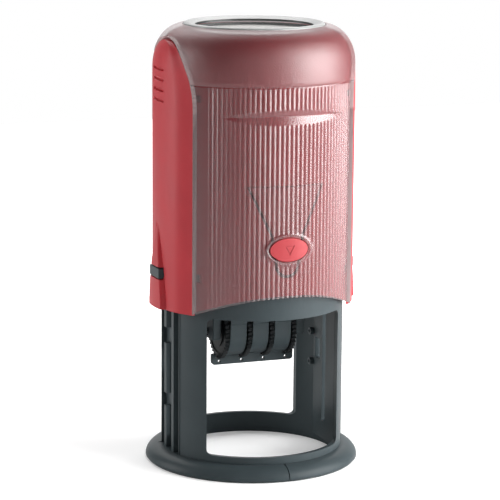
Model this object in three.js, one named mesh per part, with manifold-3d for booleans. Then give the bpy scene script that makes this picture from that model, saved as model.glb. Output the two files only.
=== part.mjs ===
// Rotary date stamp: a round self-inking dater with a push-down handle.
// Millimetres, +Z up. The origin is the centre of the ring that rests on the paper.
// The front faces -Y and the two legs stand at +X and -X. Everything is at rest, handle up.

import * as THREE from 'three';
import { mergeVertices } from 'three/addons/utils/BufferGeometryUtils.js';
import Module from 'manifold-3d';

const wasm = await Module();
wasm.setup();

// ---------------------------------------------------------------- driving dimensions

const gap = 0.3;
const around = 48;

const dieRadius = 22.5;
const frameInner = 24.9;
const frameOuter = 26.2;
const flangeRadius = 31.04;
const flangeHeight = 4.1;
const ringTop = 6.1;
const windowTop = 45.8;
const windowHalfWidth = 20;
const frameTop = 64.9;

const stroke = 42.5;
const axleRest = 52.3;
const dieFace = 9.75;
const wheelDrop = 14.3;

const handleRadius = 29.05;
const handleBottom = 46.6;
const domeStart = 114.5;
const domeTop = 126.9;
const domeFlat = 19.3;
const domePower = 2.25;
const coverThickness = 1.1;
const bodyOffset = coverThickness + gap;
const sleeveRadius = 26.7;

const padBottom = 65.2;
const deckBottom = 71.7;
const deckTop = 73.4;
const ceiling = 123.4;

const channelHalf = 7.5;
const channelFloor = 23.8;
const channelBottom = 3.9;
const channelTop = 62.5;
const legInner = 22.8;
const railTop = 25.6;
const railCentre = 3.2;
const trunnion = 1;

const buttonZ = 66.5;
const buttonHalfWidth = 6;
const buttonHalfHeight = 3.65;
const tongueTop = 84;
const tongueBottom = 59.1;
const tongueTip = 2.7;
const tongueGap = 0.8;

// ---------------------------------------------------------------- materials

function plastic(color, roughness) {
  return new THREE.MeshStandardMaterial({ color, roughness, metalness: 0 });
}

const frameGrey = plastic(0x3d4547, 0.45);
const bodyRed = plastic(0xc23c45, 0.4);
const buttonRed = plastic(0xe8555c, 0.4);
const innerBlack = plastic(0x23282a, 0.5);
const rubberRed = plastic(0x8c2f33, 0.8);
const bandGrey = plastic(0x4a4642, 0.8);
const feltInk = plastic(0x2a2c4a, 0.95);
const cardWhite = plastic(0xecebe6, 0.8);
const steel = new THREE.MeshStandardMaterial({ color: 0xb4b8ba, roughness: 0.3, metalness: 1 });
const smokeClear = new THREE.MeshStandardMaterial({
  color: 0xa8838a, roughness: 0.15, metalness: 0, transparent: true, opacity: 0.55,
});
const rimClear = new THREE.MeshStandardMaterial({
  color: 0xc9cccb, roughness: 0.15, metalness: 0, transparent: true, opacity: 0.7,
});

// ---------------------------------------------------------------- solids and booleans

function toSolid(geometry) {
  const bare = geometry.index ? geometry.toNonIndexed() : geometry.clone();
  bare.deleteAttribute('normal');
  bare.deleteAttribute('uv');
  const merged = mergeVertices(bare, 1e-4);
  const mesh = new wasm.Mesh({
    numProp: 3,
    vertProperties: new Float32Array(merged.attributes.position.array),
    triVerts: new Uint32Array(merged.index.array),
  });
  mesh.merge();
  return new wasm.Manifold(mesh);
}

function toGeometry(solid) {
  const mesh = solid.getMesh();
  const geometry = new THREE.BufferGeometry();
  geometry.setAttribute('position', new THREE.BufferAttribute(mesh.vertProperties, 3));
  geometry.setIndex(new THREE.BufferAttribute(mesh.triVerts, 1));
  geometry.computeVertexNormals();
  return geometry;
}

function block(x0, x1, y0, y1, z0, z1) {
  const geometry = new THREE.BoxGeometry(x1 - x0, y1 - y0, z1 - z0);
  geometry.translate((x0 + x1) / 2, (y0 + y1) / 2, (z0 + z1) / 2);
  return toSolid(geometry);
}

// The profile is a closed list of [radius, z], counter-clockwise with the radius to the right.
function turned(profile, segments = around) {
  const points = profile.map(([radius, z]) => new THREE.Vector2(radius, z));
  points.push(points[0].clone());
  const geometry = new THREE.LatheGeometry(points, segments);
  geometry.rotateX(Math.PI / 2);
  return toSolid(geometry);
}

function discZ(radius, z0, z1, segments = around) {
  const geometry = new THREE.CylinderGeometry(radius, radius, z1 - z0, segments);
  geometry.rotateX(Math.PI / 2);
  geometry.rotateZ(Math.PI / 2);
  geometry.translate(0, 0, (z0 + z1) / 2);
  return toSolid(geometry);
}

function rodX(radius, x0, x1, y, z, segments = 16) {
  const geometry = new THREE.CylinderGeometry(radius, radius, x1 - x0, segments);
  geometry.rotateZ(Math.PI / 2);
  geometry.translate((x0 + x1) / 2, y, z);
  return toSolid(geometry);
}

function extruded(shape, depth, curveSegments) {
  return new THREE.ExtrudeGeometry(shape, { depth, bevelEnabled: false, curveSegments });
}

// A prism along X: the shape's two axes are Y and Z.
function prismX(shape, x0, x1, curveSegments = 8) {
  const geometry = extruded(shape, x1 - x0, curveSegments);
  const alongX = new THREE.Matrix4().makeBasis(
    new THREE.Vector3(0, 1, 0),
    new THREE.Vector3(0, 0, 1),
    new THREE.Vector3(1, 0, 0),
  );
  geometry.applyMatrix4(alongX);
  geometry.translate(x0, 0, 0);
  return toSolid(geometry);
}

// A prism along Y: the shape's two axes are X and Z.
function prismY(shape, y0, y1, curveSegments = 8) {
  const geometry = extruded(shape, y1 - y0, curveSegments);
  geometry.rotateX(Math.PI / 2);
  geometry.translate(0, y1, 0);
  return toSolid(geometry);
}

function outline(points) {
  return new THREE.Shape(points.map(([u, v]) => new THREE.Vector2(u, v)));
}

function turnHalf(solid) {
  return solid.rotate([0, 0, 180]);
}

function bothEnds(solid) {
  return solid.add(turnHalf(solid));
}

// ---------------------------------------------------------------- shapes that pieces share

// The handle's outer skin, moved inwards by an offset: a cylinder, then a dome that is a little
// squarer than an ellipse.
function skin(offset, z0) {
  const steps = 6;
  const points = [[handleRadius - offset, z0]];
  for (let i = 0; i <= steps; i += 1) {
    const angle = (i / steps) * (Math.PI / 2);
    points.push([
      domeFlat + (handleRadius - domeFlat - offset) * Math.cos(angle) ** (2 / domePower),
      domeStart + (domeTop - domeStart - offset) * Math.sin(angle) ** (2 / domePower),
    ]);
  }
  return points;
}

// A domed cup, open below, between two offsets of the skin, with its own inner top.
function domedCup(outerOffset, innerOffset, innerTop, z0) {
  const outer = skin(outerOffset, z0);
  const inner = skin(innerOffset, z0).reverse();
  const kept = inner.filter(([, z]) => z < innerTop);
  return turned([...outer, [0, domeTop - outerOffset], [0, innerTop], [kept[0][0], innerTop], ...kept]);
}

// The bullet-shaped cheek at each end of X, seen along X.
function bullet(grow) {
  const halfWidth = 15.27 + grow;
  const springing = 104;
  const rise = 19 + grow;
  const power = 2.3;
  const steps = 7;
  const points = [[-halfWidth, handleBottom - 10], [halfWidth, handleBottom - 10]];
  for (let side = 1; side >= -1; side -= 2) {
    for (let i = 0; i <= steps; i += 1) {
      const angle = ((side > 0 ? i : steps - i) / steps) * (Math.PI / 2);
      if (side > 0 || i > 0) {
        points.push([
          side * halfWidth * Math.cos(angle) ** (2 / power),
          springing + rise * Math.sin(angle) ** (2 / power),
        ]);
      }
    }
  }
  return outline(points);
}

// What lies below the arched lower edge of the front and the back, seen along Y.
function belowArch(raise) {
  const archTop = 52.8 + raise;
  const drop = archTop - handleBottom;
  const reach = 24.7;
  const steps = 6;
  const points = [[reach, handleBottom - 10], [-reach, handleBottom - 10]];
  for (let i = -steps; i <= steps; i += 1) {
    const across = i / steps;
    points.push([reach * across, archTop - drop * Math.abs(across) ** 2.3]);
  }
  return outline(points.reverse());
}

function oval(grow) {
  const shape = new THREE.Shape();
  const [width, height] = [buttonHalfWidth + grow, buttonHalfHeight + grow];
  shape.absellipse(0, buttonZ, width, height, 0, 2 * Math.PI, false, 0);
  return shape;
}

// The lock button's spring tongue: wide at its root, waisted, with a round tip below the button.
function tongue(grow, rise) {
  const tip = tongueTip + grow;
  const shape = new THREE.Shape();
  shape.moveTo(-tip, tongueBottom + tongueTip);
  shape.absarc(0, tongueBottom + tongueTip, tip, Math.PI, 2 * Math.PI, false);
  shape.lineTo(4.2 + grow, 70.5);
  shape.lineTo(10.6 + grow, tongueTop + rise);
  shape.lineTo(-10.6 - grow, tongueTop + rise);
  shape.lineTo(-4.2 - grow, 70.5);
  return shape;
}

// The snap windows near the four corners of the cover, upper and lower, seen along Y.
function snapWindows() {
  const cuts = [];
  for (const side of [-1, 1]) {
    for (const [z, halfHeight, halfWidth] of [[108, 1, 0.85], [57.3, 1.2, 0.95]]) {
      const x = side * 23.4;
      cuts.push(block(x - halfWidth, x + halfWidth, -30, 30, z - halfHeight, z + halfHeight));
    }
  }
  return cuts;
}

// ---------------------------------------------------------------- frame

// The foot's outline from the paper up: a flange with a rounded back, then the tube's wall.
function footProfile(inset) {
  const steps = 5;
  const rise = flangeHeight - 0.6;
  const points = [[frameInner, 0], [flangeRadius - 0.5 - inset, 0]];
  for (let i = 0; i <= steps; i += 1) {
    const angle = (i / steps) * (Math.PI / 2);
    points.push([
      frameOuter + (flangeRadius - frameOuter - inset) * Math.cos(angle),
      0.6 + (rise - inset) * Math.sin(angle),
    ]);
  }
  return [...points, [frameOuter, frameTop], [frameInner, frameTop]];
}

function baseFrame() {
  let solid = turned(footProfile(0));
  const corner = 1.5;
  const half = windowHalfWidth;
  const opening = new THREE.Shape();
  opening.absarc(half - corner, ringTop + corner, corner, -Math.PI / 2, 0, false);
  opening.absarc(half - corner, windowTop - corner, corner, 0, Math.PI / 2, false);
  opening.absarc(corner - half, windowTop - corner, corner, Math.PI / 2, Math.PI, false);
  opening.absarc(corner - half, ringTop + corner, corner, Math.PI, (3 * Math.PI) / 2, false);
  solid = solid.subtract(prismY(opening, -40, 40, 4));

  const lockSlot = block(-buttonHalfWidth - 0.6, buttonHalfWidth + 0.6, -40, 40, 57.3, frameTop + 1);
  solid = solid.subtract(lockSlot);

  const channel = [-channelHalf, channelHalf, channelBottom, channelTop];
  let legs = block(legInner, 25.2, -8, 8, 2.4, frameTop);
  legs = bothEnds(legs.subtract(block(channelFloor, 26, ...channel)));
  const outside = bothEnds(block(channelFloor, 30, ...channel));
  solid = solid.subtract(outside).add(legs);

  for (const side of [-1, 1]) {
    const [near, far] = [side * railCentre - 1, side * railCentre + 1];
    let rail = block(channelFloor - 0.5, railTop, near, far, channelBottom - 0.3, channelTop + 0.2);
    if (side < 0) {
      rail = rail.subtract(block(channelFloor + 0.2, 26, near - 1, far + 1, 34.8, 39.5));
      rail = rail.subtract(block(channelFloor + 0.2, 26, near - 1, far + 1, 16.2, 20));
    }
    solid = solid.add(bothEnds(rail));
  }

  const slotHalf = trunnion + gap;
  const axleSlot = block(legInner - 1, channelFloor + 0.5, -slotHalf, slotHalf, 7.9, 57);
  const between = block(legInner - 1, channelFloor + 0.5, 3, 6.8, 26, 32.2);
  solid = solid.subtract(bothEnds(axleSlot)).subtract(between).subtract(between.mirror([1, 0, 0]));
  for (const z of [24.4, 33.6]) {
    const peg = rodX(1.1, 21.6, 23.5, 8.6, z, 16).subtract(rodX(0.55, 21, 23, 8.6, z, 12));
    solid = solid.add(peg).add(peg.mirror([1, 0, 0]));
  }
  const frontMark = block(-0.15, 0.15, -32, -frameOuter, 0.4, 5).subtract(turned(footProfile(0.3)));
  return solid.subtract(frontMark);
}

// The bridge over the ink cartridge, with the seat of the return spring on it.
function padHousing() {
  const post = block(23.9, 25.2, -7.4, 7.4, padBottom, deckBottom + 0.5);
  const inside = discZ(25.2, padBottom, deckTop);
  const deck = discZ(25.2, deckBottom, deckTop);
  const seat = turned([[15.6, deckTop - 0.5], [16.8, deckTop - 0.5], [16.8, 75.2], [15.6, 75.2]], 32);
  return deck.add(bothEnds(post).intersect(inside)).add(seat);
}

function padTray() {
  const shell = discZ(23.6, padBottom, deckBottom - gap, 48);
  return shell.subtract(discZ(22.5, padBottom - 1, 69.8, 48));
}

function inkPad() {
  return discZ(22.2, padBottom + 0.1, 69.5, 48);
}

function returnSpring() {
  const wire = 0.7;
  const turns = 5;
  const low = deckTop + gap + wire;
  const high = ceiling - gap - wire;
  const points = [];
  const steps = turns * 12;
  for (let i = 0; i <= steps; i += 1) {
    const along = i / steps;
    const angle = along * turns * 2 * Math.PI;
    const radius = 13.8 - 4 * along;
    const z = low + (high - low) * along;
    points.push(new THREE.Vector3(radius * Math.cos(angle), radius * Math.sin(angle), z));
  }
  const section = new THREE.Shape();
  section.absarc(0, 0, wire, 0, 2 * Math.PI, false);
  const extrudePath = new THREE.CatmullRomCurve3(points);
  const options = { steps, bevelEnabled: false, curveSegments: 3, extrudePath };
  return toSolid(new THREE.ExtrudeGeometry(section, options));
}

// ---------------------------------------------------------------- handle

function gripBulge() {
  const apex = 70.9;
  const half = 5.2;
  const steps = 6;
  const points = [];
  for (let i = 0; i <= steps; i += 1) {
    const along = i / steps;
    const width = half * (1 - along ** 1.53);
    points.push([width, handleBottom + (apex - handleBottom) * along]);
  }
  for (let i = steps - 1; i >= 0; i -= 1) {
    points.push([-points[i][0], points[i][1]]);
  }
  const wedge = turned([
    [28, handleBottom],
    [30.35, handleBottom],
    [30.1, 58],
    [29.6, 65.5],
    [handleRadius, apex],
    [28, apex],
  ]);
  return wedge.intersect(prismX(outline(points), 20, 32));
}

function handleBody() {
  const bothCheeks = bothEnds(prismX(bullet(0), 5, 32));
  const thick = domedCup(0, handleRadius - sleeveRadius, ceiling, handleBottom);
  const thin = domedCup(bodyOffset, handleRadius - sleeveRadius, ceiling, handleBottom);
  let solid = thin.add(thick.intersect(bothCheeks)).add(bothEnds(gripBulge()));
  for (const z of [106.2, 109.1, 112.1, 115]) {
    solid = solid.subtract(bothEnds(block(28.3, 32, -4, 4, z - 0.45, z + 0.45)));
  }
  solid = solid.subtract(bothEnds(block(24, 32, -4.3, 4.3, 55, 58.5)));
  solid = solid.subtract(prismY(belowArch(gap), -40, 40));
  const lockCut = prismY(tongue(tongueGap, gap), -40, -15, 6).add(prismY(oval(0.35), -40, -15, 14));
  solid = solid.subtract(bothEnds(lockCut));
  for (const cut of snapWindows()) {
    solid = solid.subtract(cut);
  }
  return solid.subtract(discZ(18, 124.3, 127, 48));
}

function clearCover() {
  let solid = domedCup(0, coverThickness, domeTop - coverThickness, handleBottom);
  solid = solid.subtract(bothEnds(prismX(bullet(gap), 5, 32)));
  solid = solid.subtract(prismY(belowArch(0), -40, 40));
  solid = solid.subtract(bothEnds(prismY(oval(0.35), -40, -15, 14)));
  for (const cut of snapWindows()) {
    solid = solid.subtract(cut);
  }
  return solid.subtract(discZ(19, 124, 128)).subtract(discZ(20.5, 126.3, 128));
}

function lockButton() {
  const leaf = turned([[sleeveRadius, 50], [27.65, 50], [27.65, 90], [sleeveRadius, 90]]);
  const cap = turned([[sleeveRadius, 50], [29.15, 50], [29.15, 90], [sleeveRadius, 90]]);
  const tongueLeaf = leaf.intersect(prismY(tongue(0, 0), -40, -15, 6));
  return tongueLeaf.add(cap.intersect(prismY(oval(0), -40, -15, 14)));
}

// A dished ring: its inner slope leads down to the recessed window.
function topRim() {
  return turned([
    [16.8, 126.05],
    [18.7, 126.05],
    [18.7, 126.6],
    [20.2, 126.6],
    [20.2, 126.8],
    [19.8, 127.2],
    [19.2, 127.4],
    [16.8, 126.5],
  ]);
}

function yoke() {
  let solid = block(24.1, 25.6, -1.9, 1.9, 49, 58.5);
  solid = solid.add(block(25.4, 26.4, -1.9, 1.9, 55.3, 58.2));
  solid = solid.add(block(26, 30.1, -4, 4, 55.3, 58.2));
  return solid.subtract(rodX(trunnion + gap, 23, 27, 0, axleRest));
}

// ---------------------------------------------------------------- date unit, about its axle

const bandBottom = -wheelDrop;
const noseZ = 6.9;
const rimCentres = [-10.3, -3.4, 3.4, 10.3];
const rimHalf = 0.6;
const rimSpace = 0.95;
const shaftRadius = 0.9;
// Each band's two edges. The day tens and the day units share the first gap between the rims.
const bandEdges = [[-9.1, -7], [-6.7, -4.65], [-2.15, 2.15], [4.7, 9.05]];

function sidePlate() {
  const low = bandBottom - 1.7;
  const left = [[-6, 5.3], [-5.6, low + 0.5], [-5.1, low]];
  const shape = outline([[6, 5.3], ...left, [5.1, low], [5.6, low + 0.5]]);
  let solid = prismX(shape, 11.6, 14.1);
  solid = solid.add(rodX(3.2, 13.5, 22.4, 0, 0));
  solid = solid.add(rodX(trunnion, 22, 25.4, 0, 0));
  return solid.subtract(rodX(shaftRadius + gap, 11, 16, 0, bandBottom));
}

function textPlate() {
  const opening = block(-9.9, 9.9, -3.5, 3.5, 5, 8);
  return discZ(dieRadius - 0.2, 5.6, 7.4).subtract(opening);
}

function dieRubber() {
  const opening = block(-9.9, 9.9, -3.4, 3.4, 7, 11);
  return discZ(dieRadius, 7.7, dieFace).subtract(opening);
}

function anvil() {
  let solid = block(-11.3, 11.3, -1.6, 1.6, 1.5, 4.9);
  solid = solid.add(block(-9.4, 9.4, -1.6, 1.6, 4.5, noseZ));
  return solid.add(rodX(1.55, -9.4, 9.4, 0, noseZ));
}

// A belt round two circles in the YZ plane: the wheel's hub below and the anvil's nose above.
function beltOutline(hubRadius, noseRadius) {
  const lean = Math.asin((hubRadius - noseRadius) / (noseZ - bandBottom));
  const shape = new THREE.Shape();
  shape.absarc(0, noseZ, noseRadius, lean, Math.PI - lean, false);
  shape.absarc(0, bandBottom, hubRadius, Math.PI - lean, 2 * Math.PI + lean, false);
  return shape;
}

function dateBand([x0, x1]) {
  const nose = dieFace - noseZ;
  const outer = prismX(beltOutline(5.9, nose), x0, x1, 9);
  return outer.subtract(prismX(beltOutline(4.9, nose - 1), x0 - 1, x1 + 1, 9));
}

// Thumb wheel: a toothed rim and, beside it, the hub that drives the band. Turns about X.
function dateWheel(rim, [x0, x1]) {
  const teeth = 30;
  const shape = new THREE.Shape();
  for (let i = 0; i < teeth; i += 1) {
    const angle = (i / teeth) * 2 * Math.PI;
    const pitch = (2 * Math.PI) / teeth;
    for (const [part, radius] of [[0, 7.5], [0.5, 8.2]]) {
      const at = angle + part * pitch;
      const u = radius * Math.cos(at);
      const v = radius * Math.sin(at);
      if (i === 0 && part === 0) shape.moveTo(u, v);
      else shape.lineTo(u, v);
    }
  }
  let solid = prismX(shape, rim - rimHalf, rim + rimHalf);
  solid = solid.add(rodX(4.6, Math.min(x0, rim), Math.max(x1, rim), 0, 0, 16));
  return solid.subtract(rodX(shaftRadius + gap, -20, 20, 0, 0, 12));
}

function wheelShaft() {
  return rodX(shaftRadius, -14.8, 13.9, 0, 0).add(rodX(1.5, -15.6, -14.4, 0, 0));
}

function guardLoop(x0, x1) {
  const [outer, inner, shoulder] = [7.3, 6.3, 7.6];
  const shape = new THREE.Shape();
  shape.moveTo(shoulder, -3);
  shape.lineTo(inner, -3);
  shape.lineTo(inner, bandBottom);
  shape.absarc(0, bandBottom, inner, 0, -Math.PI, true);
  shape.lineTo(-inner, -3);
  shape.lineTo(-shoulder, -3);
  shape.lineTo(-shoulder, -11.1);
  shape.lineTo(-outer, -11.4);
  shape.lineTo(-outer, bandBottom);
  shape.absarc(0, bandBottom, outer, -Math.PI, 0, false);
  shape.lineTo(outer, -11.4);
  shape.lineTo(shoulder, -11.1);
  return prismX(shape, x0, x1, 9);
}

function wheelGuard() {
  const bottom = -24.4;
  const round = 0.9;
  const half = 12.6;
  const shape = new THREE.Shape();
  shape.moveTo(-half, -21.2);
  shape.lineTo(-half, bottom + round);
  shape.absarc(round - half, bottom + round, round, Math.PI, 1.5 * Math.PI, false);
  shape.absarc(half - round, bottom + round, round, -Math.PI / 2, 0, false);
  shape.lineTo(half, -21.2);
  let solid = prismY(shape, -0.7, 0.7, 5);
  for (let i = 0; i < 3; i += 1) {
    solid = solid.add(guardLoop(rimCentres[i] + rimSpace, rimCentres[i + 1] - rimSpace));
  }
  for (const rim of rimCentres) {
    solid = solid.subtract(block(rim - rimSpace, rim + rimSpace, -2, 2, -22.8, -20));
    const hole = new THREE.CylinderGeometry(0.4, 0.4, 4, 8);
    hole.translate(rim, 0, -23.4);
    solid = solid.subtract(toSolid(hole));
  }
  return solid;
}

// ---------------------------------------------------------------- assembly

function piece(name, solid, material, parent) {
  const mesh = new THREE.Mesh(toGeometry(solid), material);
  mesh.name = name;
  parent.add(mesh);
  return mesh;
}

const stamp = new THREE.Group();
stamp.name = 'rotary_date_stamp';

piece('base_frame', baseFrame(), frameGrey, stamp);
piece('pad_housing', padHousing(), innerBlack, stamp);
piece('pad_tray', padTray(), innerBlack, stamp);
piece('ink_pad', inkPad(), feltInk, stamp);
piece('return_spring', returnSpring(), steel, stamp);

piece('handle_body', handleBody(), bodyRed, stamp);
piece('clear_cover', clearCover(), smokeClear, stamp);
piece('index_card', discZ(17.7, 124.6, 124.85), cardWhite, stamp);
piece('index_window', discZ(17.7, 125.15, 125.75), rimClear, stamp);
piece('top_rim', topRim(), rimClear, stamp);
piece('front_lock_button', lockButton(), buttonRed, stamp);
const rearButton = piece('rear_lock_button', lockButton(), buttonRed, stamp);
rearButton.rotation.z = Math.PI;
piece('yoke_right', yoke(), frameGrey, stamp);
const leftYoke = piece('yoke_left', yoke(), frameGrey, stamp);
leftYoke.rotation.z = Math.PI;

const rotor = new THREE.Group();
rotor.position.z = axleRest;
stamp.add(rotor);
piece('side_plate_right', sidePlate(), innerBlack, rotor);
const leftPlate = piece('side_plate_left', sidePlate(), innerBlack, rotor);
leftPlate.rotation.z = Math.PI;
piece('text_plate', textPlate(), innerBlack, rotor);
piece('die_rubber', dieRubber(), rubberRed, rotor);
piece('anvil', anvil(), innerBlack, rotor);
piece('wheel_guard', wheelGuard(), frameGrey, rotor);

const wheels = new THREE.Group();
wheels.position.z = bandBottom;
rotor.add(wheels);
piece('wheel_shaft', wheelShaft(), steel, wheels);
const dates = ['day_tens', 'day_units', 'month', 'year'];
dates.forEach((date, i) => {
  piece(`${date}_wheel`, dateWheel(rimCentres[i], bandEdges[i]), frameGrey, wheels);
  piece(`${date}_band`, dateBand(bandEdges[i]), bandGrey, rotor);
});

export default stamp;
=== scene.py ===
import math

import bmesh
import bpy
from mathutils import Matrix, Vector


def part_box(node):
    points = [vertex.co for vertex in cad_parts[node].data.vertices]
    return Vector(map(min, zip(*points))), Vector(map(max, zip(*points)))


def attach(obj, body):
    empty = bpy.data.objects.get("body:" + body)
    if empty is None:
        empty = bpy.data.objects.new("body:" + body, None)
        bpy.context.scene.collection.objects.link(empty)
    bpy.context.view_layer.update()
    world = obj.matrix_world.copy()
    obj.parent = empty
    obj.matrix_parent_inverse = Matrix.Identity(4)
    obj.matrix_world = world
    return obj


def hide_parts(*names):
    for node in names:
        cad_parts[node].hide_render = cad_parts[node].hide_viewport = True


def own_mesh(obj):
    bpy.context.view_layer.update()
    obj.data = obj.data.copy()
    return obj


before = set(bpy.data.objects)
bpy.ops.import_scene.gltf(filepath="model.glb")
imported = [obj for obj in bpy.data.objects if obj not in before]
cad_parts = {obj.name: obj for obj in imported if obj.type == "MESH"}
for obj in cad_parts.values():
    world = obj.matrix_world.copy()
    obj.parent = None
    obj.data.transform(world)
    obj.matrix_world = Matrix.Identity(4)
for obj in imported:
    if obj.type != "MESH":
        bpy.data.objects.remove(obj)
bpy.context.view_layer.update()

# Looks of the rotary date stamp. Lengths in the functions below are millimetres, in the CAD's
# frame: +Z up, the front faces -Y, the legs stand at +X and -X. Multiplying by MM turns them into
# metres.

MM = 0.001


def top(node):
    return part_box(node)[1][2] / MM


def bottom(node):
    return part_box(node)[0][2] / MM


def reach(node, axis):
    return max(abs(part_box(node)[0][axis]), abs(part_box(node)[1][axis])) / MM


# ------------------------------------------------------------------ sizes, from the frame

FLANGE_R = reach("base_frame", 0)
FRAME_TOP = top("base_frame")
FRAME_IN, FRAME_OUT = 24.9, 26.2
RING_TOP, WINDOW_TOP, WINDOW_HALF = 6.1, 45.8, 20.0
CHANNEL_HALF, CHANNEL_FLOOR, CHANNEL_LOW, CHANNEL_TOP = 7.5, 23.8, 3.9, 62.5
LEG_IN, RAIL_Y, RAIL_TOP = 22.8, 3.2, 25.6

HANDLE_R = reach("clear_cover", 1)
HANDLE_BOTTOM = bottom("handle_body")
DOME_START, DOME_TOP, DOME_FLAT, DOME_POWER = 114.5, 126.9, 19.3, 2.25
COVER = 1.1
SLEEVE_R = 26.7
CEILING = 123.4
SEAM_Z = 111.8
BUTTON_Z, BUTTON_W, BUTTON_H, BUTTON_GAP = 66.5, 5.6, 3.25, 0.35
CHEEK_HALF, CHEEK_SHOULDER, CHEEK_RISE, CHEEK_POWER = 15.27, 104.0, 19.0, 2.3
ARCH_HALF, ARCH_CROWN, ARCH_POWER = 24.7, 52.8, 2.3
RIB_PITCH, RIB_DEPTH = 1.4, 0.25
DIMPLE_Z, DIMPLE_UP, DIMPLE_DOWN, DIMPLE_HALF, DIMPLE_DEPTH = 103.3, 2.3, 2.4, 19.8, 0.85
EDGE_GROW, SNAP_X = 0.85, 22.8
TONGUE_TOP, TONGUE_BOTTOM, TONGUE_TIP = 84.0, 59.1, 2.7
TONGUE_GAP, ROOT_GAP = 1.0, 0.3

AXLE_Z = 52.3
WHEEL_Z = (top("day_tens_wheel") + bottom("day_tens_wheel")) / 2
RIMS = (-10.3, -3.4, 3.4, 10.3)
RIM_HALF, RIM_SPACE = 0.6, 0.95
WHEEL_TEETH, WHEEL_R, WHEEL_ROOT = 38, 8.2, 7.4
SHAFT_R, TRUNNION_R, CLEAR = 0.9, 1.0, 0.3

# ------------------------------------------------------------------ mesh helpers


def new_object(name, verts, faces):
    mesh = bpy.data.meshes.new(name)
    mesh.from_pydata([[c * MM for c in v] for v in verts], [], faces)
    work = bmesh.new()
    work.from_mesh(mesh)
    bmesh.ops.recalc_face_normals(work, faces=work.faces)
    work.to_mesh(mesh)
    work.free()
    obj = bpy.data.objects.new(name, mesh)
    bpy.context.collection.objects.link(obj)
    return obj


def revolve(name, profile, segments=160):
    """A closed profile of (radius, z) turned round Z."""
    verts, faces, rings = [], [], []
    for radius, z in profile:
        count = 1 if radius < 1e-6 else segments
        rings.append(range(len(verts), len(verts) + count))
        for i in range(count):
            turn = 2 * math.pi * i / segments
            verts.append((radius * math.cos(turn), radius * math.sin(turn), z))
    for low, high in zip(rings, rings[1:] + rings[:1]):
        if len(low) == 1 and len(high) == 1:
            continue
        for i in range(segments):
            j = (i + 1) % segments
            face = [low[i % len(low)], low[j % len(low)], high[j % len(high)], high[i % len(high)]]
            faces.append(list(dict.fromkeys(face)))
    return new_object(name, verts, faces)


def prism(name, outline, axis, start, end):
    """An outline of (u, v) pushed along an axis: X keeps (y, z), Y keeps (x, z), Z keeps (x, y)."""
    place = {
        "X": lambda u, v, w: (w, u, v),
        "Y": lambda u, v, w: (u, w, v),
        "Z": lambda u, v, w: (u, v, w),
    }[axis]
    count = len(outline)
    verts = [place(u, v, w) for w in (start, end) for u, v in outline]
    faces = [list(range(count)), list(range(2 * count - 1, count - 1, -1))]
    for i in range(count):
        j = (i + 1) % count
        faces.append([i, j, count + j, count + i])
    return new_object(name, verts, faces)


def block(x0, x1, y0, y1, z0, z1):
    return prism("block", [(x0, y0), (x1, y0), (x1, y1), (x0, y1)], "Z", z0, z1)


def arc(cu, cv, radius, start, end, steps=12):
    """Points on an arc, its angles in degrees."""
    turns = [math.radians(start + (end - start) * i / steps) for i in range(steps + 1)]
    return [(cu + radius * math.cos(t), cv + radius * math.sin(t)) for t in turns]


def span(side, near, far):
    """The two X values of a part at one end of the object, in rising order."""
    return sorted((side * near, side * far))


def rod_x(radius, x0, x1, y, z, steps=40):
    return prism("rod", arc(y, z, radius, 0, 360 - 360 / steps, steps - 1), "X", x0, x1)


def combine(obj, other, operation):
    modifier = obj.modifiers.new("combine", "BOOLEAN")
    modifier.operation = operation
    modifier.solver = "EXACT"
    modifier.object = other
    graph = bpy.context.evaluated_depsgraph_get()
    old = obj.data
    obj.data = bpy.data.meshes.new_from_object(obj.evaluated_get(graph))
    obj.modifiers.clear()
    bpy.data.meshes.remove(old)
    bpy.data.meshes.remove(other.data)
    return obj


def cut(obj, *others):
    for other in others:
        combine(obj, other, "DIFFERENCE")
    return obj


def add(obj, *others):
    for other in others:
        combine(obj, other, "UNION")
    return obj


def finish_piece(obj, name, body, material, nodes=(), bevel=0.0, sharp=32):
    """Names the piece, rounds its edges, shades it, paints it and hands it to its body."""
    obj.name = name
    limit = math.radians(sharp)
    work = bmesh.new()
    work.from_mesh(obj.data)
    bmesh.ops.remove_doubles(work, verts=work.verts, dist=1e-6)
    bmesh.ops.dissolve_degenerate(work, edges=work.edges, dist=1e-7)
    for face in work.faces:
        face.smooth = True
    for edge in work.edges:
        edge.smooth = len(edge.link_faces) != 2 or edge.calc_face_angle(0) < limit
    work.to_mesh(obj.data)
    work.free()
    if bevel:
        modifier = obj.modifiers.new("edges", "BEVEL")
        modifier.width = bevel * MM
        modifier.segments = 2
        modifier.limit_method = "ANGLE"
        modifier.angle_limit = limit
        modifier.harden_normals = True
    obj.data.materials.clear()
    obj.data.materials.append(material)
    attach(obj, body)
    if nodes:
        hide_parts(*nodes)
    return obj


# ------------------------------------------------------------------ materials


def shader(name):
    material = bpy.data.materials.new(name)
    material.use_nodes = True
    nodes = material.node_tree.nodes
    return material, nodes, material.node_tree.links, nodes["Principled BSDF"]


def noise(nodes, links, scale, detail=3.0):
    place = nodes.new("ShaderNodeTexCoord")
    texture = nodes.new("ShaderNodeTexNoise")
    texture.inputs["Scale"].default_value = scale
    texture.inputs["Detail"].default_value = detail
    links.new(place.outputs["Object"], texture.inputs["Vector"])
    return texture.outputs["Fac"]


def ramp(nodes, links, source, low, high, start=0.3, end=0.7):
    """A smooth change between two colours, driven by a value."""
    blend = nodes.new("ShaderNodeValToRGB")
    blend.color_ramp.elements[0].position = start
    blend.color_ramp.elements[1].position = end
    blend.color_ramp.elements[0].color = (*low, 1)
    blend.color_ramp.elements[1].color = (*high, 1)
    links.new(source, blend.inputs["Fac"])
    return blend.outputs["Color"]


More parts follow.
